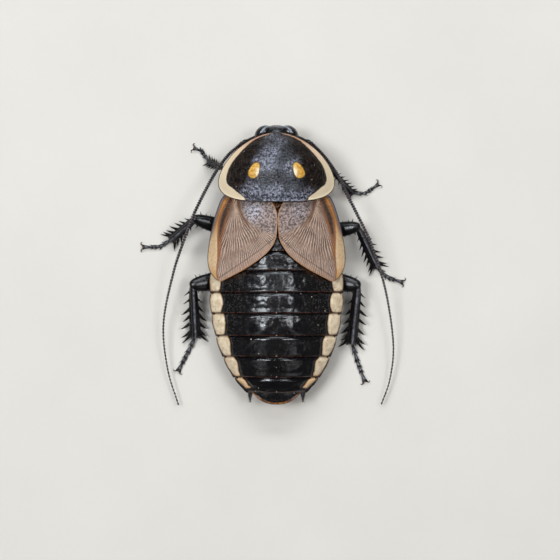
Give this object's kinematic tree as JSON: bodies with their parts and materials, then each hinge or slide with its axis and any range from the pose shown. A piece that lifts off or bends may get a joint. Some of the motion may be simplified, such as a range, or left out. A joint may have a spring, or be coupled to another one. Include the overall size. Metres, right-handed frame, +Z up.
{
  "type": "glowspot cockroach model",
  "caption": "Life-size still model of a short-winged, shield-backed cockroach standing on its feet, with a ringed abdomen, spiny legs and swept-back antennae.",
  "frame": {"origin": "centre of the bounding box at floor level, under the feet", "axes": "+Y from tail to head along the body, +Z up from the floor, +X to the animal's right"},
  "size_m": [0.035, 0.0364, 0.01],
  "materials": {
    "black_cuticle": "glossy, nearly black, fine grain",
    "shield_cuticle": "black with a cream margin and two golden spots",
    "ring_cuticle": "glossy black with cream side lobes",
    "wing_leather": "leathery brown with fine veins and a pale outer edge",
    "leg_cuticle": "glossy black",
    "feeler": "satin dark brown",
    "eye": "glossy black",
    "mouthpart": "satin reddish brown",
    "tail_rim": "glossy orange brown"
  },
  "bodies": {
    "root": {"head": "black_cuticle", "eye_left": "eye", "eye_right": "eye", "labrum": "black_cuticle", "maxillary_palp_left": "mouthpart", "maxillary_palp_right": "mouthpart", "labial_palp_left": "mouthpart", "labial_palp_right": "mouthpart", "scape_left": "feeler", "scape_right": "feeler", "flagellum_base_left": "feeler", "flagellum_base_right": "feeler", "flagellum_middle_left": "feeler", "flagellum_middle_right": "feeler", "flagellum_tip_left": "feeler", "flagellum_tip_right": "feeler", "pronotum": "shield_cuticle", "prothorax": "black_cuticle", "mesothorax": "black_cuticle", "metathorax": "black_cuticle", "tegmen_left": "wing_leather", "tegmen_right": "wing_leather", "abdomen_1": "ring_cuticle", "abdomen_2": "ring_cuticle", "abdomen_3": "ring_cuticle", "abdomen_4": "ring_cuticle", "abdomen_5": "ring_cuticle", "abdomen_6": "ring_cuticle", "abdomen_7": "ring_cuticle", "supra_anal_plate": "black_cuticle", "subgenital_plate": "tail_rim", "cercus_left": "black_cuticle", "cercus_right": "black_cuticle", "coxa_fore_left": "leg_cuticle", "femur_fore_left": "leg_cuticle", "tibia_fore_left": "leg_cuticle", "tarsus_fore_left": "leg_cuticle", "coxa_fore_right": "leg_cuticle", "femur_fore_right": "leg_cuticle", "tibia_fore_right": "leg_cuticle", "tarsus_fore_right": "leg_cuticle", "coxa_mid_left": "leg_cuticle", "femur_mid_left": "leg_cuticle", "tibia_mid_left": "leg_cuticle", "tarsus_mid_left": "leg_cuticle", "coxa_mid_right": "leg_cuticle", "femur_mid_right": "leg_cuticle", "tibia_mid_right": "leg_cuticle", "tarsus_mid_right": "leg_cuticle", "coxa_hind_left": "leg_cuticle", "femur_hind_left": "leg_cuticle", "tibia_hind_left": "leg_cuticle", "tarsus_hind_left": "leg_cuticle", "coxa_hind_right": "leg_cuticle", "femur_hind_right": "leg_cuticle", "tibia_hind_right": "leg_cuticle", "tarsus_hind_right": "leg_cuticle"}
  },
  "joints": []
}
